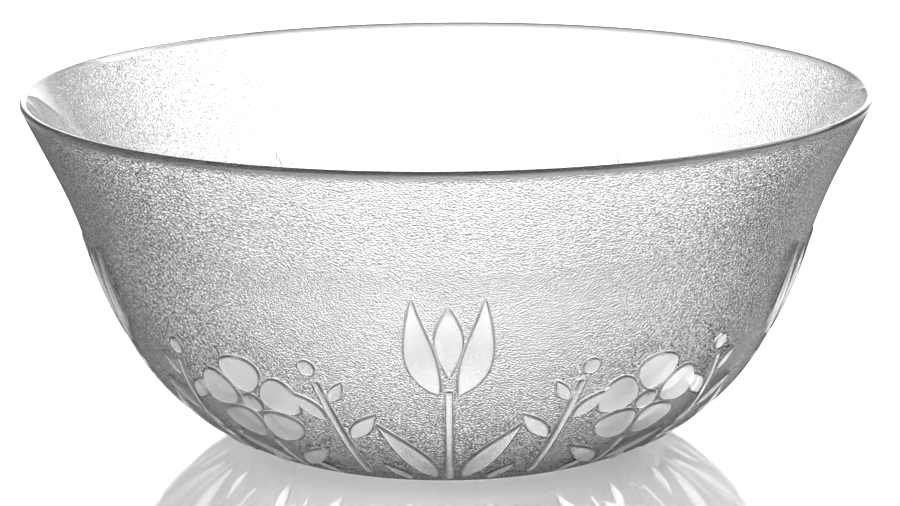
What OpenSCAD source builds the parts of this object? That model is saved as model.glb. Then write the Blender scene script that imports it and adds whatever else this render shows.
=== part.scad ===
// Serving bowl of clear pressed glass, moulded in one piece.
// Millimetres. The origin is on the table under the bowl's centre, and the rim is up.

/* [Overall size] */

// Outside diameter over the rim
rim_d = 230; // [212:1:248]

// Height from the table to the top of the rim
height = 95.5; // [87:0.5:104]

// Outside diameter of the flat ring that the bowl stands on
foot_d = 102; // [90:1:112]

/* [Glass thickness] */

// Wall where the side leaves the base
wall_t = 4.6; // [3.6:0.1:5.6]

// Wall at the rim, which is rounded over its full thickness
rim_t = 2; // [1.6:0.1:3]

// Floor of the bowl outside the recess
floor_t = 6; // [4.5:0.1:7]

/* [Base] */

// Width of the flat standing ring
ring_w = 9; // [6:0.5:12]

// Depth of the recess inside the ring
recess_depth = 1.2; // [0.6:0.1:2]

// Width of the curve between ring and recess
recess_curve = 7; // [3:0.5:12]

/* [Profile of the side] */

// Slope at which the side leaves the table
foot_slope = 14.3; // [8:0.1:20]

// Slope at the end of the heel curve
heel_slope = 30.4; // [26:0.1:36]

// Slope at the end of the belly curve
belly_slope = 60.6; // [54:0.1:64]

// Steepest slope, where the side turns outwards
shoulder_slope = 73.6; // [69:0.1:78]

// Slope of the straight lip
lip_slope = 63.9; // [60:0.1:68]

// Belly radius as a multiple of the heel radius
belly_ratio = 1.6; // [1.2:0.01:2]

// Radius of the outward turn as a multiple of the shoulder radius
flare_ratio = 1.07; // [0.8:0.01:1.6]

// Length of the straight lip as a multiple of the shoulder radius
lip_ratio = 0.16; // [0.1:0.01:0.3]

/* [Moulded relief] */

// Height of the flowers and leaves over the wall
relief_h = 0.6; // [0.3:0.1:0.9]

// Number of tulips round the bowl
repeats = 5; // [3:1:6]

// Length of a tulip
tulip_l = 29; // [22:1:32]

// Diameter of a rose
rose_d = 31; // [22:1:34]

// Length of the two leaves beside a tulip's stem
leaf_l = 31; // [22:1:34]

// Width of those leaves
leaf_w = 6.4; // [4:0.1:8]

// Length of the two leaves under a rose
rose_leaf_l = 18; // [12:1:22]

// Width of those leaves
rose_leaf_w = 5.4; // [3:0.1:7]

// Length of a berry sprig
sprig_l = 40; // [30:1:44]

// Length of the longest leaf on a sprig
sprig_leaf_l = 13; // [8:1:16]

// Width of a sprig's leaves
sprig_leaf_w = 4.6; // [3:0.1:6]

// Length of the short leaves near the base
grass_l = 13; // [8:1:16]

// Width of the short leaves
grass_w = 3.6; // [2:0.1:5]

// Width of a stem
stem_w = 1.8; // [1.2:0.1:2.6]

// Diameter of a berry
berry_d = 4.6; // [3:0.1:6]

/* [Hidden] */

// Straight facets that each curve of the profile is drawn with
heel_steps = 3;
belly_steps = 4;
shoulder_steps = 3;
flare_steps = 2;
blend_steps = 3;
recess_steps = 4;
// Facets round the bowl, and round a motif's disc
round_steps = 60;
disc_steps = 10;

// How deep the relief's root goes into the wall, and how far its blocks stand clear of it
root = 1.2;
clear = 8;
// Slope at which the relief starts above the table
relief_slope = 20;

// Slopes at which the motifs are centred
tulip_at = 69;
rose_at = 57;
sprig_at = 54;
stem_at = 46;
grass_at = 27;
// Turns from a tulip at which sprigs and short leaves stand, as shares of the turn to the next tulip
sprig_turn = 0.26;
grass_turns = [0.13, 0.38];
// How far below its centre a stem rises, and how far its top runs under the flower
stem_drop = 20;
stem_lap = 1;

glass_colour = [0.85, 0.89, 0.9];

// Profile of the side

// Move made by an arc of radius 1 that turns from slope a to slope b
function turn(a, b) = sign(b - a) * [sin(b) - sin(a), cos(a) - cos(b)];

// Direction out of the glass at a slope
function outward(slope) = [sin(slope), -cos(slope)];

foot = [foot_d / 2, 0];
lip_centre = [rim_d / 2 - rim_t / 2, height - rim_t / 2];
lip_end = lip_centre + rim_t / 2 * outward(lip_slope);

// The heel and shoulder radii are the two that bring the side from the foot to the lip
lower = turn(foot_slope, heel_slope) + belly_ratio * turn(heel_slope, belly_slope);
upper = turn(belly_slope, shoulder_slope) + flare_ratio * turn(shoulder_slope, lip_slope)
    + lip_ratio * [cos(lip_slope), sin(lip_slope)];
heel_r = cross(lip_end - foot, upper) / cross(lower, upper);
shoulder_r = cross(lower, lip_end - foot) / cross(lower, upper);
belly_r = belly_ratio * heel_r;
flare_r = flare_ratio * shoulder_r;

heel_end = foot + heel_r * turn(foot_slope, heel_slope);
belly_end = heel_end + belly_r * turn(heel_slope, belly_slope);
shoulder_end = belly_end + shoulder_r * turn(belly_slope, shoulder_slope);

// Stations [point, slope] along an arc, without its first point
function arc(start, a, b, radius, steps) = [
    for (i = [1:steps])
        let (slope = a + (b - a) * i / steps)
            [start + radius * turn(a, slope), slope]
];

wall = concat(
    arc(heel_end, heel_slope, belly_slope, belly_r, belly_steps),
    arc(belly_end, belly_slope, shoulder_slope, shoulder_r, shoulder_steps),
    arc(shoulder_end, shoulder_slope, lip_slope, flare_r, flare_steps)
);
heel = arc(foot, foot_slope, heel_slope, heel_r, heel_steps);
side = concat([[foot, foot_slope]], heel, wall, [[lip_end, lip_slope]]);

// Point of the outer side that has a given slope, from the heel to the shoulder
function on_side(slope) =
    slope < heel_slope ? foot + heel_r * turn(foot_slope, slope)
    : slope < belly_slope ? heel_end + belly_r * turn(heel_slope, slope)
    : belly_end + shoulder_r * turn(belly_slope, slope);

// Length of the outer side from a slope in the belly to one past it
function along(a, b) =
    (belly_r * (min(b, belly_slope) - a) + shoulder_r * max(0, b - belly_slope)) * PI / 180;

// The wall thins evenly from the base to the lip
function thickness(z) = wall_t + (rim_t - wall_t) * z / lip_end[1];

// Point across the wall from a station
function inside(s) = s[0] - thickness(s[0][1]) * outward(s[1]);

function reversed(list) = [for (i = [len(list) - 1:-1:0]) list[i]];

// The inner side falls from the lip to the heel and meets the floor in an arc
inner_heel = inside([heel_end, heel_slope]);
blend_r = (inner_heel[1] - floor_t) / (1 - cos(heel_slope));
floor_edge = [inner_heel[0] - blend_r * sin(heel_slope), floor_t];
inner_side = concat(
    [for (i = [0:blend_steps]) floor_edge + blend_r * turn(0, heel_slope * i / blend_steps)],
    [for (s = wall) inside(s)]
);

// Full round of the lip, through its widest and its highest point
lip_angles = [lip_slope - 90, 0, 45, 90, 90 + lip_slope];
lip = [for (a = lip_angles) lip_centre + rim_t / 2 * [cos(a), sin(a)]];

// Recess under the base, with an S-shaped curve into the ring
ring_in = foot_d / 2 - ring_w;
recess = [
    for (i = [0:recess_steps])
        let (t = i / recess_steps)
            [ring_in - recess_curve * (1 - t), recess_depth * (1 + cos(180 * t)) / 2]
];

module section() {
    polygon(concat(
        [[0, recess_depth]],
        recess,
        [foot],
        [for (s = concat(heel, wall)) s[0]],
        lip,
        reversed(inner_side),
        [[0, floor_t]]
    ));
}

// Band along the outer side that the relief is cut from
module relief_section() {
    start = [[on_side(relief_slope), relief_slope]];
    band = concat(start, [for (s = side) if (s[1] > relief_slope && s[0][1] < lip_end[1]) s]);
    polygon(concat(
        [for (s = band) s[0] + relief_h * outward(s[1])],
        reversed([for (s = band) s[0] - root * outward(s[1])])
    ));
}

// Flowers and leaves, drawn flat with x to the right and y up the wall

// Pointed leaf or petal of length l from the origin, its tip led aside by lean;
// one with fullness under 1 is broadest nearer its root, over 1 nearer its tip
module blade(l, w, lean = 0, fullness = 0.85, steps = 5) {
    function middle(t) = lean * t * t;
    function half(t) = w / 2 * sin(180 * pow(t, fullness));
    polygon(concat(
        [for (i = [0:steps]) let (t = i / steps) [middle(t) + half(t), l * t]],
        [for (i = [steps - 1:-1:1]) let (t = i / steps) [middle(t) - half(t), l * t]]
    ));
}

// Rounded petal of length l from the origin, narrowed towards it
module petal(l, w, narrowing = 0.3, corners = 8) {
    polygon([
        for (i = [0:corners - 1])
            let (a = 360 * i / corners)
                [w / 2 * sin(a) * (1 - narrowing * cos(a)), l / 2 * (1 - cos(a))]
    ]);
}

// Stem of even width and length l from the origin, its top led aside by lean
module stem(l, lean = 0, steps = 3) {
    function middle(t) = lean * t * t;
    polygon(concat(
        [for (i = [0:steps]) let (t = i / steps) [middle(t) + stem_w / 2, l * t]],
        [for (i = [steps:-1:0]) let (t = i / steps) [middle(t) - stem_w / 2, l * t]]
    ));
}

module both_sides() {
    children();
    mirror([1, 0]) children();
}

// Upright tulip: a middle petal between two that lean over it
module tulip() {
    middle_l = tulip_l * 0.74;
    middle_w = tulip_l * 0.25;
    middle_y = tulip_l * 0.2;
    side_l = tulip_l * 0.98;
    side_w = tulip_l * 0.27;
    side_at = [tulip_l * 0.085, tulip_l * 0.02];
    side_turn = 30;
    side_lean = -tulip_l * 0.3;
    translate([0, -tulip_l / 2]) {
        translate([0, middle_y]) blade(middle_l, middle_w, fullness = 1.1);
        both_sides() translate(side_at) rotate(-side_turn) blade(side_l, side_w, side_lean, 0.8);
    }
}

// Stem up to the tulip, with a long leaf on each side
module tulip_stem() {
    leaf_at = [3.4, 1 - stem_drop];
    leaf_turn = 16;
    leaf_lean = 7;
    top = along(stem_at, tulip_at) - tulip_l / 2 + stem_lap;
    translate([0, -stem_drop]) stem(stem_drop + top);
    both_sides() translate(leaf_at) rotate(-leaf_turn) blade(leaf_l, leaf_w, leaf_lean);
}

// Round flower of five petals about a disc
module rose() {
    petals = 5;
    petal_from = rose_d * 0.13;
    petal_l = rose_d * 0.37;
    petal_w = rose_d * 0.385;
    disc_d = rose_d * 0.2;
    for (i = [0:petals - 1]) rotate(360 / petals * i) translate([0, petal_from]) petal(petal_l, petal_w);
    circle(d = disc_d, $fn = disc_steps);
}

// Stem up to the rose, with a leaf on each side
module rose_leaves() {
    drop = stem_drop - 2;
    leaf_at = [2.2, 2 - drop];
    leaf_turn = 34;
    leaf_lean = 4;
    top = along(stem_at, rose_at) - rose_d / 2 + stem_lap;
    translate([0, -drop]) stem(drop + top);
    both_sides() translate(leaf_at) rotate(-leaf_turn) blade(rose_leaf_l, rose_leaf_w, leaf_lean);
}

// Leaning sprig with a berry past its tip and three leaves of falling length
module sprig() {
    foot_y = -26;
    lean = 5;
    berry_at = [lean + 1.6, foot_y + sprig_l + 2 + berry_d / 2];
    leaf_ats = [[-0.9, -6], [4.2, 1], [2.2, 8]];
    leaf_turns = [36, -42, 38];
    leaf_leans = [-1, 1, 0.6];
    leaf_shares = [1, 0.92, 0.62];
    leaf_widths = [1, 1, 0.7];
    translate([0, foot_y]) stem(sprig_l, lean);
    translate(berry_at) circle(d = berry_d, $fn = disc_steps);
    for (i = [0:len(leaf_ats) - 1])
        translate(leaf_ats[i]) rotate(leaf_turns[i])
            blade(sprig_leaf_l * leaf_shares[i], sprig_leaf_w * leaf_widths[i], leaf_leans[i], steps = 4);
}

// Short leaf near the base
module grass() {
    leaf_turn = 12;
    leaf_lean = 3;
    rotate(-leaf_turn) blade(grass_l, grass_w, leaf_lean, steps = 3);
}

// Blocks of a motif, set square to the wall at a turn round the bowl and a slope
module on_wall(at, slope) {
    p = on_side(slope);
    rotate(at) translate([p[0], 0, p[1]]) rotate([0, 90 - slope, 0]) rotate([90, 0, 90])
        linear_extrude(2 * clear, center = true) children();
}

// One motif and its mirror image at the same turn to either side of a tulip
module on_both_walls(at, slope) {
    on_wall(at, slope) children();
    on_wall(-at, slope) mirror([1, 0]) children();
}

// The first tulip faces the front, -Y
module relief() {
    sector = 360 / repeats;
    intersection() {
        rotate_extrude($fn = round_steps) relief_section();
        for (i = [0:repeats - 1]) rotate(sector * i - 90) {
            on_wall(0, tulip_at) tulip();
            on_wall(0, stem_at) tulip_stem();
            on_wall(sector / 2, rose_at) rose();
            on_wall(sector / 2, stem_at) rose_leaves();
            on_both_walls(sector * sprig_turn, sprig_at) sprig();
            for (turn = grass_turns) on_both_walls(sector * turn, grass_at) grass();
        }
    }
}

module bowl() {
    color(glass_colour) {
        rotate_extrude($fn = round_steps) section();
        relief();
    }
}

bowl();
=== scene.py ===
import math

import bmesh
import bpy
import numpy as np
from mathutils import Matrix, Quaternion, Vector
from mathutils.geometry import delaunay_2d_cdt


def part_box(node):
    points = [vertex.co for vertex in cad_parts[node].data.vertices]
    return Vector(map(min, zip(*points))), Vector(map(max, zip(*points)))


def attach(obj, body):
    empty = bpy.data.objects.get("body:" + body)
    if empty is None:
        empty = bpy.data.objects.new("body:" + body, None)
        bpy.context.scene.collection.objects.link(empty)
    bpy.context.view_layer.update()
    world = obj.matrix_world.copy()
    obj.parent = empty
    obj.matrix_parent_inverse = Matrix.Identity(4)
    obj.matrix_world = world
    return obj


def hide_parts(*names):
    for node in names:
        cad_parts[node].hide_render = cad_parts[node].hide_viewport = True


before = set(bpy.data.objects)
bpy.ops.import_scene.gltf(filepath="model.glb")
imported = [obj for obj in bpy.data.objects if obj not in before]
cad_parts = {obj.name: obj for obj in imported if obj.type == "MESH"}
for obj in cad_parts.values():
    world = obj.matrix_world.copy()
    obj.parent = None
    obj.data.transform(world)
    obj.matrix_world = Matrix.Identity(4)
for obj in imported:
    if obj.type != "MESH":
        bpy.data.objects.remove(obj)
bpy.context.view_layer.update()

MM = 0.001

# Sizes of the bowl in millimetres, of which the frame gives the rim and the height
_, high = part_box("bowl")
RIM_R = high.x / MM
HEIGHT = high.z / MM
FOOT_R = 51.0
WALL_T = 4.6
RIM_T = 2.0
FLOOR_T = 6.0
RING_W = 9.0
RECESS_DEPTH = 1.2
RECESS_CURVE = 7.0

# Slopes of the side in degrees, from the table to the lip, and how its curves compare
FOOT_SLOPE = 14.3
HEEL_SLOPE = 30.4
BELLY_SLOPE = 60.6
SHOULDER_SLOPE = 73.6
LIP_SLOPE = 63.9
BELLY_RATIO = 1.6
FLARE_RATIO = 1.07
LIP_RATIO = 0.16

# Moulded relief: how often it repeats, its height, and its motifs' sizes and slopes
REPEATS = 5
EDGE_H = 0.46
DOME_H = 0.14
DOME_REACH = 2.2
EDGE_HALF = 0.24
TULIP_L = 29.0
ROSE_D = 31.0
LEAF_L = 31.0
LEAF_W = 6.4
ROSE_LEAF_L = 18.0
ROSE_LEAF_W = 5.4
SPRIG_L = 40.0
SPRIG_LEAF_L = 13.0
SPRIG_LEAF_W = 4.6
GRASS_L = 13.0
GRASS_W = 3.6
STEM_W = 1.8
BERRY_D = 4.6
TULIP_AT = 69.0
ROSE_AT = 57.0
SPRIG_AT = 54.0
STEM_AT = 46.0
GRASS_AT = 27.0
# Turns from a tulip at which sprigs and short leaves stand, as shares of the turn to the next
SPRIG_TURN = 0.26
GRASS_TURNS = (0.13, 0.38)
# How far below its centre a stem rises, and how far its top runs under the flower
STEM_DROP = 20.0
STEM_LAP = 1.0
# The relief fades in between these slopes, clear of the table
FADE_IN = (18.0, 21.0)

# Smooth band under the rim, and the length over which the stipple fades towards it
BAND_W = 0.45
BAND_FADE = 0.25

# Stipple: grains to a metre, their height in millimetres, and the share of that height
# which light that leaves the glass doesn't meet
GRAINS_PER_M = 2800.0
GRAIN_H = 1.1
LEAVING_CUT = 0.7
# Painted shade and light in the grain, spots painted darker and lighter at random, the more so at a
# slant: how many spots to a metre, how strong the painted shade is, and how late it comes as the
# glass is seen at a slant
PAINTED_GRAIN_SHADE_PER_M = 1900.0
PAINTED_GRAIN_SHADE = 22.0
PAINTED_GRAIN_SHADE_LATE = 2.0
# Roughness of polished glass, and what the stipple and the satin tops of the relief add to it
POLISH = 0.02
FROST = 0.06
SATIN = 0.25
# Roughness that the outer side gains as it is seen at a slant, and how late it comes
EDGE_FROST = 0.5
EDGE_LATE = 3.0

# Painted shade: how much darker the satin tops are painted, and the lip, where it is a painted dark
# band
TOP_PAINTED_SHADE = 0.12
LIP_PAINTED_SHADE = 0.7
# Painted shade at a slant: how fast the outer side is painted darker as it is seen at a slant, the
# share of that which the low wall has, and the heights between which the share rises to the whole
SLANT_PAINTED_SHADE = 1.55
LOW_SLANT = 0.85
SLANT_FROM = 52.0
SLANT_TO = 92.0

# Glass, and the faint colour and strength of its absorption
GLASS_IOR = 1.5
TINT = (0.55, 0.57, 0.57, 1)
TINT_DENSITY = 14.0

# Light of the surround: the back panel's strength, its turn to the right and its rise in degrees,
# and the share of its light at angles from its middle, from straight across to nearest
PANEL_LIGHT = 3.2
PANEL_TURN = 6.0
PANEL_RISE = 13.0
PANEL_STOPS = ((180, 0.3), (143, 0.3), (124, 0.25), (95, 0.1), (75, 0.04),
               (30.6, 0.04), (23.7, 0.3), (19, 0.75), (13.6, 1.0))

# Table: half its side in metres, its gap under the foot in millimetres, which keeps the foot's own
# face in sight, its colour and gloss, the light it gives, and how far it is a mirror
FLOOR_HALF = 4.0
FLOOR_GAP = 0.1
FLOOR_COLOUR = (0.85, 0.85, 0.85, 1)
FLOOR_IOR = 1.5
FLOOR_ROUGHNESS = 0.08
FLOOR_GLOW = 0.24
FLOOR_MIRROR = 0.35

# Lamp above, behind and to the right, in metres and watts
LAMP_AT = (1.0, 0.8, 1.3)
LAMP_D = 1.2
LAMP_POWER = 18.0

# Camera as fitted to the photo: its distance and clip distances in metres, the height of its aim in
# millimetres, its elevation and roll in degrees, and its focal length and shifts in photo pixels
CAMERA_DISTANCE = 0.95
CAMERA_CLIP = (0.01, 50.0)
AIM_Z = 45
ELEVATION = 13.05
ROLL = -0.5
PHOTO_W = 900
FOCAL_PX = 3466
SHIFT_PX = (2.0, 16.6)
SENSOR_W = 36.0

# Fineness of the mesh: facets across half a sector, steps along outlines, and rows of the revolved
# parts, with the offsets in millimetres at which an outline is followed by points of the mesh
COLUMNS = 24
OUTLINE_STEP = 0.8
OUTLINE_OFFSETS = (-0.24, -0.1, 0.1, 0.24)
GUARD_OFFSETS = (-0.62, 0.62)
# Grid of the ground: its step as a share of the facets', its rows' spacing in steps, and how far
# from an outline's middle line its points keep, and the outline's own guard points
GRID_STEP = 0.72
GRID_ROWS = 0.87
GRID_GAP = 0.8
GUARD_GAP = 0.5
# Share of a facet that guard points keep from the half sector's own edges
EDGE_GAP = 0.3
# Sharpest corner of an outline that an offset follows, as the cosine of its half turn
SHARPEST = 0.45
INNER_ROWS = 44
LIP_ROWS = 10
BLEND_ROWS = 8
FLOOR_ROWS = 9
RECESS_ROWS = 7
RECESS_CURVE_ROWS = 8
RING_ROWS = 3
# Reach in millimetres within which a motif's point is sought on the wall, and its halvings
SEARCH = 14.0
HALVINGS = 40
# Distance that counts as outside every motif, and length under which a number counts as zero
FAR = 50.0
TINY = 1e-6
WELD = 0.002 * MM


# Profile of the side

def turn(a, b):
    """Move made by an arc of radius 1 that turns from slope a to slope b."""
    a, b = math.radians(a), math.radians(b)
    sign = 1 if b >= a else -1
    return sign * np.array([math.sin(b) - math.sin(a), math.cos(a) - math.cos(b)])


def outward(slope):
    """Directions out of the glass at slopes, as rows of radius and height."""
    a = np.radians(slope)
    return np.stack([np.sin(a), -np.cos(a)], axis=-1)


def cross(u, v):
    return u[0] * v[1] - u[1] * v[0]


class Side:
    """The outer side as arcs tangent to each other, closed on the lip as the solid's is."""

    def __init__(self, samples=200):
        foot = np.array([FOOT_R, 0.0])
        self.lip_centre = np.array([RIM_R - RIM_T / 2, HEIGHT - RIM_T / 2])
        end = self.lip_centre + RIM_T / 2 * outward(LIP_SLOPE)
        lip = math.radians(LIP_SLOPE)
        lower = turn(FOOT_SLOPE, HEEL_SLOPE) + BELLY_RATIO * turn(HEEL_SLOPE, BELLY_SLOPE)
        upper = (turn(BELLY_SLOPE, SHOULDER_SLOPE) + FLARE_RATIO * turn(SHOULDER_SLOPE, LIP_SLOPE)
                 + LIP_RATIO * np.array([math.cos(lip), math.sin(lip)]))
        heel_r = cross(end - foot, upper) / cross(lower, upper)
        shoulder_r = cross(lower, end - foot) / cross(lower, upper)
        legs = [
            (FOOT_SLOPE, HEEL_SLOPE, heel_r),
            (HEEL_SLOPE, BELLY_SLOPE, BELLY_RATIO * heel_r),
            (BELLY_SLOPE, SHOULDER_SLOPE, shoulder_r),
            (SHOULDER_SLOPE, LIP_SLOPE, FLARE_RATIO * shoulder_r),
        ]
        points, slopes, start = [foot], [FOOT_SLOPE], foot
        for a, b, radius in legs:
            for t in np.linspace(0, 1, samples + 1)[1:]:
                points.append(start + radius * turn(a, a + (b - a) * t))
                slopes.append(a + (b - a) * t)
            start = points[-1]
        for t in np.linspace(0, 1, samples + 1)[1:]:
            points.append(start + t * (end - start))
            slopes.append(LIP_SLOPE)
        self.points = np.array(points)
        self.slopes = np.array(slopes)
        self.rising = 3 * samples + 1
        steps = np.linalg.norm(np.diff(self.points, axis=0), axis=1)
        middle_r = (self.points[1:, 0] + self.points[:-1, 0]) / 2
        self.along = np.concatenate([[0], np.cumsum(steps)])
        # Height on a chart that keeps angles: radians round the bowl match its units up the side
        self.chart = np.concatenate([[0], np.cumsum(steps / middle_r)])
        self.heel_end = self.along[samples]
        self.length = self.along[-1]
        self.top = self.chart[-1]

    def at_slope(self, slope):
        """Point of the lower side with a slope."""
        r = np.interp(slope, self.slopes[:self.rising], self.points[:self.rising, 0])
        z = np.interp(slope, self.slopes[:self.rising], self.points[:self.rising, 1])
        return r, z

    def between(self, low_slope, high_slope):
        """Length of the lower side between two slopes."""
        slopes, along = self.slopes[:self.rising], self.along[:self.rising]
        low_at, high_at = np.interp((low_slope, high_slope), slopes, along)
        return high_at - low_at

    def at(self, place, scale):
        """Point, slope and length up the side at a place on one of the scales chart or along."""
        r = np.interp(place, scale, self.points[:, 0])
        z = np.interp(place, scale, self.points[:, 1])
        slope = np.interp(place, scale, self.slopes)
        along = np.interp(place, scale, self.along)
        return np.stack([r, z], axis=-1), slope, along

    def radius(self, z):
        return np.interp(z, self.points[:, 1], self.points[:, 0])

    def chart_of(self, z):
        return np.interp(z, self.points[:, 1], self.chart)


# Flat outlines of the motifs, with x to the right and y up the wall

def moved(outline, x, y):
    return outline + np.array([x, y])


def turned(outline, degrees):
    a = math.radians(degrees)
    return outline @ np.array([[math.cos(a), math.sin(a)], [-math.sin(a), math.cos(a)]])


def mirrored(outline):
    return outline[::-1] * np.array([-1, 1])


def blade(length, width, lean=0.0, fullness=0.85):
    """Pointed leaf or petal from the origin, its tip led aside by lean."""
    t = np.linspace(0, 1, max(8, round(length / OUTLINE_STEP)) + 1)
    middle, half = lean * t ** 2, width / 2 * np.sin(np.pi * t ** fullness)
    right = np.stack([middle + half, length * t], axis=1)
    left = np.stack([middle - half, length * t], axis=1)
    return np.concatenate([right, left[-2:0:-1]])


def petal(length, width, narrowing=0.3):
    """Rounded petal from the origin, narrowed towards it."""
    a = np.linspace(0, 2 * np.pi, round(3 * length / OUTLINE_STEP) + 1)[:-1]
    across = width / 2 * np.sin(a) * (1 - narrowing * np.cos(a))
    return np.stack([across, length / 2 * (1 - np.cos(a))], axis=1)


def stem(length, lean=0.0):
    """Stem of even width from the origin upwards."""
    t = np.linspace(0, 1, max(4, round(length / 2 / OUTLINE_STEP)) + 1)
    right = np.stack([lean * t ** 2 + STEM_W / 2, length * t], axis=1)
    return np.concatenate([right, (right - np.array([STEM_W, 0]))[::-1]])


def disc(diameter):
    a = np.linspace(0, 2 * np.pi, round(4 * diameter / OUTLINE_STEP) + 1)[:-1]
    return diameter / 2 * np.stack([np.cos(a), np.sin(a)], axis=1)


def both_sides(outline):
    return [outline, mirrored(outline)]


def tulip():
    """Upright tulip: a middle petal between two that lean over it."""
    side_turn, side_lean = 30, -0.3 * TULIP_L
    middle = moved(blade(0.74 * TULIP_L, 0.25 * TULIP_L, fullness=1.1), 0, 0.2 * TULIP_L)
    outer = turned(blade(0.98 * TULIP_L, 0.27 * TULIP_L, side_lean, fullness=0.8), -side_turn)
    outer = moved(outer, 0.085 * TULIP_L, 0.02 * TULIP_L)
    return [moved(p, 0, -TULIP_L / 2) for p in [middle] + both_sides(outer)]


def tulip_stem(side):
    """Stem up to the tulip, with a long leaf on each side."""
    leaf_x, leaf_turn, leaf_lean = 3.4, 16, 7
    top = side.between(STEM_AT, TULIP_AT) - TULIP_L / 2 + STEM_LAP
    leaf = moved(turned(blade(LEAF_L, LEAF_W, leaf_lean), -leaf_turn), leaf_x, 1 - STEM_DROP)
    return [moved(stem(STEM_DROP + top), 0, -STEM_DROP)] + both_sides(leaf)


def rose():
    """Round flower of five petals about a disc."""
    petals = 5
    one = moved(petal(0.37 * ROSE_D, 0.385 * ROSE_D), 0, 0.13 * ROSE_D)
    return [turned(one, 360 / petals * i) for i in range(petals)] + [disc(0.2 * ROSE_D)]


def rose_leaves(side):
    """Stem up to the rose, with a leaf on each side."""
    leaf_x, leaf_turn, leaf_lean = 2.2, 34, 4
    drop = STEM_DROP - 2
    top = side.between(STEM_AT, ROSE_AT) - ROSE_D / 2 + STEM_LAP
    leaf = moved(turned(blade(ROSE_LEAF_L, ROSE_LEAF_W, leaf_lean), -leaf_turn), leaf_x, 2 - drop)
    return [moved(stem(drop + top), 0, -drop)] + both_sides(leaf)


def sprig():
    """Leaning sprig with a berry past its tip and three leaves of falling length."""
    foot_y, lean = -26, 5
    berry = moved(disc(BERRY_D), lean + 1.6, foot_y + SPRIG_L + 2 + BERRY_D / 2)
    leaves = [
        # share of the longest leaf's length, share of its width, lean, turn, x, y
        (1, 1, -1, 36, -0.9, -6),
        (0.92, 1, 1, -42, 4.2, 1),
        (0.62, 0.7, 0.6, 38, 2.2, 8),
    ]
    outlines = [moved(stem(SPRIG_L, lean), 0, foot_y), berry]
    for length, width, leaf_lean, leaf_turn, x, y in leaves:
        leaf = blade(SPRIG_LEAF_L * length, SPRIG_LEAF_W * width, leaf_lean)
        outlines.append(moved(turned(leaf, leaf_turn), x, y))
    return outlines


def grass():
    """Short leaf near the base."""
    leaf_turn, leaf_lean = 12, 3
    return [turned(blade(GRASS_L, GRASS_W, leaf_lean), -leaf_turn)]


def half_sector_motifs(side):
    """Motifs between the middle of a tulip and the middle of the next rose, with their places."""
    sector = 360 / REPEATS
    return [
        (0, TULIP_AT, tulip()),
        (0, STEM_AT, tulip_stem(side)),
        (sector / 2, ROSE_AT, rose()),
        (sector / 2, STEM_AT, rose_leaves(side)),
        (sector * SPRIG_TURN, SPRIG_AT, sprig()),
    ] + [(sector * share, GRASS_AT, grass()) for share in GRASS_TURNS]


def on_wall(side, outline, place, slope):
    """Pushes a flat outline square to the wall at a place, and gives its points on the chart."""
    r, z = side.at_slope(slope)
    a = math.radians(slope)
    near, far = np.full(len(outline), -SEARCH), np.full(len(outline), SEARCH)
    for _ in range(HALVINGS):
        depth = (near + far) / 2
        reach = r + outline[:, 1] * math.cos(a) + depth * math.sin(a)
        height = z + outline[:, 1] * math.sin(a) - depth * math.cos(a)
        out = np.hypot(reach, outline[:, 0]) > side.radius(height)
        near, far = np.where(out, near, depth), np.where(out, depth, far)
    round_it = math.radians(place) + np.arctan2(outline[:, 0], reach)
    return np.stack([round_it, side.chart_of(height)], axis=1)


# Relief over the wall

def smooth(t):
    t = np.clip(t, 0, 1)
    return t * t * (3 - 2 * t)


def depth_inside(points, outline, scale):
    """Distance in millimetres from points of the chart to an outline, negative outside it."""
    a, b = outline, np.roll(outline, -1, axis=0)
    step = b - a
    rel = points[:, None, :] - a[None]
    t = np.clip((rel * step).sum(2) / (step ** 2).sum(1), 0, 1)
    gap = np.linalg.norm(rel - t[..., None] * step, axis=2).min(axis=1)
    above = (a[None, :, 1] > points[:, None, 1]) != (b[None, :, 1] > points[:, None, 1])
    rise = np.where(step[:, 1] == 0, 1, step[:, 1])
    crossing = a[:, 0] + (points[:, None, 1] - a[:, 1]) / rise * step[:, 0]
    inside = (above & (points[:, None, 0] < crossing)).sum(axis=1) % 2 == 1
    return np.where(inside, gap, -gap) * scale


def offset_loop(outline, distance, side):
    """The outline moved outwards by a distance in millimetres, on the chart."""
    before, after = np.roll(outline, 1, axis=0), np.roll(outline, -1, axis=0)
    e0, e1 = outline - before, after - outline
    n0 = np.stack([e0[:, 1], -e0[:, 0]], axis=1) / np.linalg.norm(e0, axis=1)[:, None]
    n1 = np.stack([e1[:, 1], -e1[:, 0]], axis=1) / np.linalg.norm(e1, axis=1)[:, None]
    way = n0 + n1
    way /= np.linalg.norm(way, axis=1)[:, None]
    mitre = 1 / np.maximum((way * n0).sum(axis=1), SHARPEST)
    point, _, _ = side.at(outline[:, 1], side.chart)
    return outline + way * (mitre * distance / point[:, 0])[:, None]


def area_sign(outline):
    nxt = np.roll(outline, -1, axis=0)
    return np.sign((outline[:, 0] * nxt[:, 1] - nxt[:, 0] * outline[:, 1]).sum())


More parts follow.
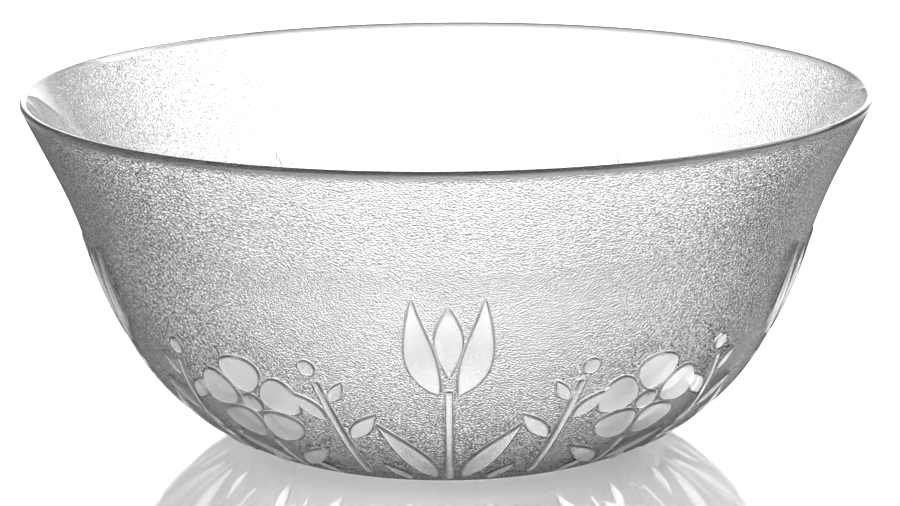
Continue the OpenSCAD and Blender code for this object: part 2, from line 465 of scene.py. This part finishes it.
def relief(points, outlines, side):
    """Height over the wall, shares of finish and of painted shade, and depth inside a motif at
    points of the chart.
    """
    place, slope, along = side.at(points[:, 1], side.chart)
    inside = np.full(len(points), -FAR)
    for outline in outlines:
        inside = np.maximum(inside, depth_inside(points, outline, place[:, 0]))
    edge = smooth((inside + EDGE_HALF) / (2 * EDGE_HALF))
    dome = 1 - np.exp(-np.maximum(inside, 0) / DOME_REACH)
    fade = smooth((slope - FADE_IN[0]) / (FADE_IN[1] - FADE_IN[0]))
    low_part = points[:, 1] < side.chart_of(side.at_slope(SHOULDER_SLOPE)[1])
    fade = np.where(low_part, fade, 1.0)
    height = (EDGE_H * edge + DOME_H * dome) * fade
    ground = 1 - smooth((inside + 2 * EDGE_HALF) / EDGE_HALF) * fade
    band = 1 - smooth((along - (side.length - BAND_W - BAND_FADE)) / BAND_FADE)
    top = smooth(inside / EDGE_HALF) * fade
    # Painted shade: the satin tops a little darker, and the lip's painted dark band
    painted_shade = TOP_PAINTED_SHADE * (1 - ground)
    painted_shade = LIP_PAINTED_SHADE + (painted_shade - LIP_PAINTED_SHADE) * band
    # Share of the painted shade at a slant: less on the low wall, none on the raised tops
    upper = smooth((place[:, 1] - SLANT_FROM) / (SLANT_TO - SLANT_FROM))
    slant_shade_share = (LOW_SLANT + (1 - LOW_SLANT) * upper) * (1 - top)
    shares = np.stack([ground * band, top, slant_shade_share, painted_shade], axis=1)
    return height, shares, inside


# Mesh of half a sector

# What each point carries for the glass: shares of stipple and satin, the share of painted shade and
# edge frost at a slant, and an even painted shade
FINISHES_AND_PAINTED_SHADE = ("stipple", "satin", "slant", "painted_shade")


class Shell:
    """Points and faces of the half sector, with the shares of finish and painted shade at each
    point.
    """

    def __init__(self):
        self.points, self.faces, self.shares = [], [], []

    def add(self, points, faces, shares):
        first = len(self.points)
        self.points += [tuple(p) for p in points]
        self.shares += [tuple(s) for s in shares]
        self.faces += [tuple(first + i for i in f) for f in faces]


def round_point(r, z, angle):
    return np.stack([r * np.cos(angle), r * np.sin(angle), z], axis=-1)


def outer_side(side, half_turn):
    """The stippled outer side with its relief, cut from a chart of it."""
    motifs = half_sector_motifs(side)
    outlines = [on_wall(side, p, place, slope) for place, slope, group in motifs for p in group]
    outlines = [p if area_sign(p) > 0 else p[::-1] for p in outlines]
    spots, edges = [], []

    def add_chain(chain, closed=False):
        first = len(spots)
        spots.extend(chain)
        count = len(chain)
        edges.extend((first + i, first + i + 1) for i in range(count - 1))
        if closed:
            edges.append((first + count - 1, first))

    step = half_turn / COLUMNS
    rows = round(side.top / step)
    ups = np.linspace(0, side.top, rows + 1)
    rounds = np.linspace(0, half_turn, COLUMNS + 1)
    frame_chain = ([(x, 0.0) for x in rounds[:-1]] + [(half_turn, y) for y in ups[:-1]]
                   + [(x, side.top) for x in rounds[:0:-1]] + [(0.0, y) for y in ups[:0:-1]])
    add_chain(frame_chain, closed=True)
    for outline in outlines:
        for distance in OUTLINE_OFFSETS:
            add_chain(offset_loop(outline, -distance, side), closed=True)
    grid = []
    fine = step * GRID_STEP
    fine_rows, count = round(side.top / (fine * GRID_ROWS)), round(half_turn / fine)
    for j in range(1, fine_rows):
        # Every other row is set off by half a step
        shift = 0.25 if j % 2 else -0.25
        for i in range(1, count):
            grid.append(((i + shift) * half_turn / count, j * side.top / fine_rows))
    grid = np.array(grid)
    _, _, inside = relief(grid, outlines, side)
    spots.extend(grid[np.abs(inside) > GRID_GAP])
    guards = []
    for outline in outlines:
        for distance in GUARD_OFFSETS:
            guards.append(offset_loop(outline, -distance, side))
    guards = np.concatenate(guards)
    _, _, inside = relief(guards, outlines, side)
    margin = EDGE_GAP * step
    kept = np.abs(inside) > GUARD_GAP
    kept &= (guards[:, 0] > margin) & (guards[:, 0] < half_turn - margin)
    kept &= (guards[:, 1] > margin) & (guards[:, 1] < side.top - margin)
    spots.extend(guards[kept])
    verts, _, faces, *_ = delaunay_2d_cdt([Vector(p) for p in spots], edges, [], 0, TINY)
    chart = np.array(verts)
    kept_faces = []
    for f in faces:
        x, y = chart[list(f)].mean(axis=0)
        if 0 < x < half_turn and 0 < y < side.top:
            kept_faces.append(f)
    used = sorted({i for f in kept_faces for i in f})
    number = {old: new for new, old in enumerate(used)}
    chart = chart[used]
    chart[np.abs(chart[:, 0]) < TINY, 0] = 0.0
    chart[np.abs(chart[:, 0] - half_turn) < TINY, 0] = half_turn
    height, shares, _ = relief(chart, outlines, side)
    place, slope, _ = side.at(chart[:, 1], side.chart)
    place = place + height[:, None] * outward(slope)
    points = round_point(place[:, 0], place[:, 1], chart[:, 0])
    return points, [tuple(number[i] for i in f) for f in kept_faces], shares


def inner_profile(side):
    """Lip, inner side and floor from the outer lip to the axis, with each row's shares of finish
    and painted shade.
    """
    angles = np.radians(np.linspace(LIP_SLOPE - 90, LIP_SLOPE + 90, LIP_ROWS + 1))
    lip = side.lip_centre + RIM_T / 2 * np.stack([np.cos(angles), np.sin(angles)], axis=1)
    place, slope, _ = side.at(np.linspace(side.length, side.heel_end, INNER_ROWS + 1), side.along)
    thick = WALL_T + (RIM_T - WALL_T) * place[:, 1] / side.points[-1, 1]
    wall = place - thick[:, None] * outward(slope)
    heel = wall[-1]
    blend = (heel[1] - FLOOR_T) / (1 - math.cos(math.radians(HEEL_SLOPE)))
    edge = heel[0] - blend * math.sin(math.radians(HEEL_SLOPE))
    slopes = np.linspace(HEEL_SLOPE, 0, BLEND_ROWS + 1)[1:]
    curve = [np.array([edge, FLOOR_T]) + blend * turn(0, a) for a in slopes]
    floor = [(edge * t, FLOOR_T) for t in np.linspace(1, 0, FLOOR_ROWS + 1)[1:]]
    profile = np.concatenate([lip, wall[1:], np.array(curve), np.array(floor)])
    shares = np.zeros((len(profile), len(FINISHES_AND_PAINTED_SHADE)))
    # Painted shade: the lip's painted dark band
    shares[:len(lip), FINISHES_AND_PAINTED_SHADE.index("painted_shade")] = LIP_PAINTED_SHADE
    return profile, shares


def base_profile():
    """Recess and ring under the bowl as points of radius and height, from the axis to the foot."""
    ring_in = FOOT_R - RING_W
    recess_r = ring_in - RECESS_CURVE
    middle = [(recess_r * t, RECESS_DEPTH) for t in np.linspace(0, 1, RECESS_ROWS + 1)]
    curve = [(recess_r + RECESS_CURVE * t, RECESS_DEPTH * (1 + math.cos(math.pi * t)) / 2)
             for t in np.linspace(0, 1, RECESS_CURVE_ROWS + 1)[1:]]
    ring = [(ring_in + RING_W * t, 0.0) for t in np.linspace(0, 1, RING_ROWS + 1)[1:]]
    profile = np.array(middle + curve + ring)
    return profile, np.zeros((len(profile), len(FINISHES_AND_PAINTED_SHADE)))


def revolved(profile, row_shares, half_turn):
    """A strip of the profile swept through half a sector, closed to one point on the axis."""
    angles = np.linspace(0, half_turn, COLUMNS + 1)
    points, shares, rows, faces = [], [], [], []
    for (r, z), share in zip(profile, row_shares):
        row = []
        for angle in angles if r > TINY else angles[:1]:
            row.append(len(points))
            points.append(round_point(r, z, angle))
            shares.append(share)
        rows.append(row)
    for lower, upper in zip(rows[:-1], rows[1:]):
        for i in range(COLUMNS):
            ring = [lower[min(i, len(lower) - 1)], lower[min(i + 1, len(lower) - 1)],
                    upper[min(i + 1, len(upper) - 1)], upper[min(i, len(upper) - 1)]]
            faces.append(tuple(dict.fromkeys(ring)))
    return points, faces, shares


def half_sector(side):
    half_turn = math.pi / REPEATS
    shell = Shell()
    shell.add(*outer_side(side, half_turn))
    shell.add(*revolved(*inner_profile(side), half_turn))
    shell.add(*revolved(*base_profile(), half_turn))
    mesh = bpy.data.meshes.new("half_sector")
    mesh.from_pydata([Vector(p) * MM for p in shell.points], [], shell.faces)
    for name, values in zip(FINISHES_AND_PAINTED_SHADE, zip(*shell.shares)):
        mesh.attributes.new(name, "FLOAT", "POINT").data.foreach_set("value", values)
    return bpy.data.objects.new("half_sector", mesh)


# The whole bowl from its half sector

def repeat_tree(material):
    """Geometry Nodes that mirror a half sector, repeat it round the axis and weld the seams."""
    tree = bpy.data.node_groups.new("sectors round the bowl", "GeometryNodeTree")
    sockets = tree.interface
    sockets.new_socket("Half sector", in_out="INPUT", socket_type="NodeSocketGeometry")
    sockets.new_socket("Repeats", in_out="INPUT", socket_type="NodeSocketInt")
    sockets.new_socket("First turn", in_out="INPUT", socket_type="NodeSocketFloat")
    sockets.new_socket("Weld distance", in_out="INPUT", socket_type="NodeSocketFloat")
    sockets.new_socket("Bowl", in_out="OUTPUT", socket_type="NodeSocketGeometry")
    nodes, link = tree.nodes, tree.links.new
    given, result = nodes.new("NodeGroupInput"), nodes.new("NodeGroupOutput")
    other = nodes.new("GeometryNodeTransform")
    other.inputs["Scale"].default_value = (1, -1, 1)
    flip = nodes.new("GeometryNodeFlipFaces")
    pair = nodes.new("GeometryNodeJoinGeometry")
    link(given.outputs["Half sector"], other.inputs["Geometry"])
    link(other.outputs["Geometry"], flip.inputs["Mesh"])
    link(flip.outputs["Mesh"], pair.inputs["Geometry"])
    link(given.outputs["Half sector"], pair.inputs["Geometry"])
    spots = nodes.new("GeometryNodePoints")
    link(given.outputs["Repeats"], spots.inputs["Count"])
    index = nodes.new("GeometryNodeInputIndex")
    share, angle = nodes.new("ShaderNodeMath"), nodes.new("ShaderNodeMath")
    share.operation, angle.operation = "DIVIDE", "MULTIPLY_ADD"
    link(index.outputs[0], share.inputs[0])
    link(given.outputs["Repeats"], share.inputs[1])
    link(share.outputs[0], angle.inputs[0])
    angle.inputs[1].default_value = 2 * math.pi
    link(given.outputs["First turn"], angle.inputs[2])
    about = nodes.new("ShaderNodeCombineXYZ")
    link(angle.outputs[0], about.inputs["Z"])
    copies = nodes.new("GeometryNodeInstanceOnPoints")
    link(spots.outputs[0], copies.inputs["Points"])
    link(pair.outputs["Geometry"], copies.inputs["Instance"])
    link(about.outputs["Vector"], copies.inputs["Rotation"])
    real = nodes.new("GeometryNodeRealizeInstances")
    weld = nodes.new("GeometryNodeMergeByDistance")
    soft = nodes.new("GeometryNodeSetShadeSmooth")
    finish = nodes.new("GeometryNodeSetMaterial")
    finish.inputs["Material"].default_value = material
    link(copies.outputs["Instances"], real.inputs["Geometry"])
    link(real.outputs["Geometry"], weld.inputs["Geometry"])
    link(given.outputs["Weld distance"], weld.inputs["Distance"])
    link(weld.outputs["Geometry"], soft.inputs["Geometry"])
    link(soft.outputs["Geometry"], finish.inputs["Geometry"])
    link(finish.outputs["Geometry"], result.inputs["Bowl"])
    return tree


def set_input(modifier, name, value):
    for item in modifier.node_group.interface.items_tree:
        if item.item_type == "SOCKET" and item.in_out == "INPUT" and item.name == name:
            modifier[item.identifier] = value


def build_bowl(material):
    source = half_sector(Side())
    bpy.context.scene.collection.objects.link(source)
    modifier = source.modifiers.new("sectors", "NODES")
    modifier.node_group = repeat_tree(material)
    set_input(modifier, "Repeats", REPEATS)
    set_input(modifier, "First turn", -math.pi / 2)
    set_input(modifier, "Weld distance", WELD)
    evaluated = source.evaluated_get(bpy.context.evaluated_depsgraph_get())
    mesh = bpy.data.meshes.new_from_object(evaluated)
    bpy.data.objects.remove(source)
    shape = bmesh.new()
    shape.from_mesh(mesh)
    bmesh.ops.recalc_face_normals(shape, faces=shape.faces)
    shape.to_mesh(mesh)
    open_edges = sum(1 for e in shape.edges if len(e.link_faces) != 2)
    print("bowl mesh:", len(shape.verts), "points,", sum(len(f.verts) - 2 for f in shape.faces),
          "triangles,", open_edges, "open edges")
    shape.free()
    bowl = bpy.data.objects.new("pressed_glass_bowl", mesh)
    bpy.context.scene.collection.objects.link(bowl)
    return bowl


# Finishes

def new_material(name):
    material = bpy.data.materials.new(name)
    material.use_nodes = True
    nodes = material.node_tree.nodes
    nodes.clear()
    return material, nodes, material.node_tree.links.new


def pressed_glass():
    """Clear glass: stippled in the ground, satin on the raised tops, polished elsewhere, with
    painted shade at a slant, on the tops and on the lip, and painted shade and light in the grain.
    """
    material, nodes, link = new_material("pressed glass")

    def share(name):
        attribute = nodes.new("ShaderNodeAttribute")
        attribute.attribute_name = name
        return attribute.outputs["Fac"]

    def math_node(operation, *values):
        node = nodes.new("ShaderNodeMath")
        node.operation = operation
        for socket, value in zip(node.inputs, values):
            if isinstance(value, (int, float)):
                socket.default_value = value
            else:
                link(value, socket)
        return node.outputs[0]

    place = nodes.new("ShaderNodeTexCoord")

    def noise(per_metre):
        texture = nodes.new("ShaderNodeTexNoise")
        texture.inputs["Scale"].default_value = per_metre
        texture.inputs["Detail"].default_value = 0.0
        link(place.outputs["Object"], texture.inputs["Vector"])
        return texture.outputs["Fac"]

    out = nodes.new("ShaderNodeOutputMaterial")
    glass = nodes.new("ShaderNodeBsdfPrincipled")
    glass.inputs["Transmission Weight"].default_value = 1.0
    glass.inputs["IOR"].default_value = GLASS_IOR
    link(glass.outputs["BSDF"], out.inputs["Surface"])
    tint = nodes.new("ShaderNodeVolumeAbsorption")
    tint.inputs["Color"].default_value = TINT
    tint.inputs["Density"].default_value = TINT_DENSITY
    link(tint.outputs["Volume"], out.inputs["Volume"])

    # Painted shade: the outer side is painted darker where it is seen at a slant
    slant = nodes.new("ShaderNodeLayerWeight")
    slant.inputs["Blend"].default_value = 0.5

    def aslant(power):
        return math_node("POWER", slant.outputs["Facing"], power)

    facing = math_node("SUBTRACT", 1, slant.outputs["Facing"])
    painted_slant_shade = math_node("POWER", facing, math_node("MULTIPLY", share("slant"), SLANT_PAINTED_SHADE))
    # What the painted shade of the satin tops and of the lip's dark band leaves
    kept = math_node("SUBTRACT", 1, share("painted_shade"))
    # Painted shade and light in the grain: spots painted darker or lighter at random, the more so
    # at a slant
    grain_shade_noise = noise(PAINTED_GRAIN_SHADE_PER_M)
    grain_shade_share = math_node("MULTIPLY", aslant(PAINTED_GRAIN_SHADE_LATE), share("stipple"))
    grain_shade_factor = math_node("MULTIPLY", math_node("SUBTRACT", grain_shade_noise, 0.5), grain_shade_share)
    grain_shade_factor = math_node("MULTIPLY_ADD", grain_shade_factor, PAINTED_GRAIN_SHADE, 1)
    whole = nodes.new("ShaderNodeClamp")
    link(math_node("MULTIPLY", math_node("MULTIPLY", painted_slant_shade, kept), grain_shade_factor), whole.inputs["Value"])
    link(whole.outputs["Result"], glass.inputs["Base Color"])

    # Each grain turns its own way, so the outer side is duller where it is seen at a slant
    dull = math_node("MULTIPLY", aslant(EDGE_LATE), share("slant"))
    rough = math_node("MULTIPLY_ADD", share("stipple"), FROST, POLISH)
    rough = math_node("MULTIPLY_ADD", dull, EDGE_FROST, rough)
    rough = math_node("MULTIPLY_ADD", share("satin"), SATIN, rough)
    link(rough, glass.inputs["Roughness"])

    bump = nodes.new("ShaderNodeBump")
    bump.inputs["Strength"].default_value = 1.0
    bump.inputs["Distance"].default_value = GRAIN_H * MM
    # The far wall stays clear enough to be seen through: light that leaves meets a lower grain
    leaving = nodes.new("ShaderNodeNewGeometry").outputs["Backfacing"]
    met = math_node("MULTIPLY_ADD", leaving, -LEAVING_CUT, 1)
    depth = math_node("MULTIPLY", share("stipple"), met)
    link(math_node("MULTIPLY", noise(GRAINS_PER_M), depth), bump.inputs["Height"])
    link(bump.outputs["Normal"], glass.inputs["Normal"])
    return material


def pale_floor():
    """Pale glossy table, lit from below as well."""
    material, nodes, link = new_material("pale floor")
    out = nodes.new("ShaderNodeOutputMaterial")
    paint = nodes.new("ShaderNodeBsdfPrincipled")
    paint.inputs["Base Color"].default_value = FLOOR_COLOUR
    paint.inputs["Roughness"].default_value = FLOOR_ROUGHNESS
    paint.inputs["IOR"].default_value = FLOOR_IOR
    paint.inputs["Metallic"].default_value = FLOOR_MIRROR
    paint.inputs["Emission Color"].default_value = (1, 1, 1, 1)
    paint.inputs["Emission Strength"].default_value = FLOOR_GLOW
    link(paint.outputs["BSDF"], out.inputs["Surface"])
    return material


# Studio

def build_floor():
    mesh = bpy.data.meshes.new("floor")
    corners = ((-1, -1), (1, -1), (1, 1), (-1, 1))
    points = [(FLOOR_HALF * x, FLOOR_HALF * y, -FLOOR_GAP * MM) for x, y in corners]
    mesh.from_pydata(points, [], [range(len(points))])
    mesh.materials.append(pale_floor())
    floor = bpy.data.objects.new("floor", mesh)
    bpy.context.scene.collection.objects.link(floor)


def build_world():
    """Soft surround: a small bright panel low behind the bowl, dark sides and a dim front."""
    world = bpy.data.worlds.new("studio")
    bpy.context.scene.world = world
    world.use_nodes = True
    nodes, link = world.node_tree.nodes, world.node_tree.links.new
    nodes.clear()
    out = nodes.new("ShaderNodeOutputWorld")
    light = nodes.new("ShaderNodeBackground")
    place = nodes.new("ShaderNodeTexCoord")
    facing = nodes.new("ShaderNodeVectorMath")
    facing.operation = "DOT_PRODUCT"
    turn_by, rise_by = math.radians(PANEL_TURN), math.radians(PANEL_RISE)
    middle = Vector((math.sin(turn_by), math.cos(turn_by), math.tan(rise_by)))
    facing.inputs[1].default_value = middle.normalized()
    spread = nodes.new("ShaderNodeMapRange")
    spread.inputs["From Min"].default_value = -1.0
    ramp = nodes.new("ShaderNodeValToRGB")
    ramp.color_ramp.interpolation = "EASE"
    link(place.outputs["Generated"], facing.inputs[0])
    link(facing.outputs["Value"], spread.inputs["Value"])
    link(spread.outputs["Result"], ramp.inputs["Fac"])
    link(ramp.outputs["Color"], light.inputs["Color"])
    link(light.outputs["Background"], out.inputs["Surface"])
    stops = ramp.color_ramp.elements
    while len(stops) < len(PANEL_STOPS):
        stops.new(1.0)
    for stop, (degrees, grey) in zip(stops, PANEL_STOPS):
        stop.position = (1 + math.cos(math.radians(degrees))) / 2
        stop.color = (grey, grey, grey, 1)
    light.inputs["Strength"].default_value = PANEL_LIGHT


def soft_light(name, place, size, power):
    """Round lamp that looks at the bowl."""
    data = bpy.data.lights.new(name, "AREA")
    data.shape, data.size, data.energy = "DISK", size, power
    lamp = bpy.data.objects.new(name, data)
    lamp.location = place
    lamp.rotation_euler = (-Vector(place)).to_track_quat("-Z", "Y").to_euler()
    bpy.context.scene.collection.objects.link(lamp)


def build_camera():
    """Camera of the photo, which looks at a point on the bowl's axis."""
    elevation = math.radians(ELEVATION)
    data = bpy.data.cameras.new("camera")
    data.sensor_width = SENSOR_W
    data.lens = FOCAL_PX / PHOTO_W * SENSOR_W
    data.shift_x, data.shift_y = (shift / PHOTO_W for shift in SHIFT_PX)
    data.clip_start, data.clip_end = CAMERA_CLIP
    camera = bpy.data.objects.new("camera", data)
    back = Vector((0, -math.cos(elevation), math.sin(elevation)))
    camera.location = Vector((0, 0, AIM_Z * MM)) + back * CAMERA_DISTANCE
    aim = (-back).to_track_quat("-Z", "Y") @ Quaternion((0, 0, 1), math.radians(ROLL))
    camera.rotation_euler = aim.to_euler()
    bpy.context.scene.collection.objects.link(camera)
    bpy.context.scene.camera = camera


glass = pressed_glass()
bowl = build_bowl(glass)
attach(bowl, "root")
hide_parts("bowl")

build_floor()
build_world()
soft_light("lamp behind", LAMP_AT, LAMP_D, LAMP_POWER)
build_camera()
bpy.context.scene.view_settings.view_transform = "Standard"
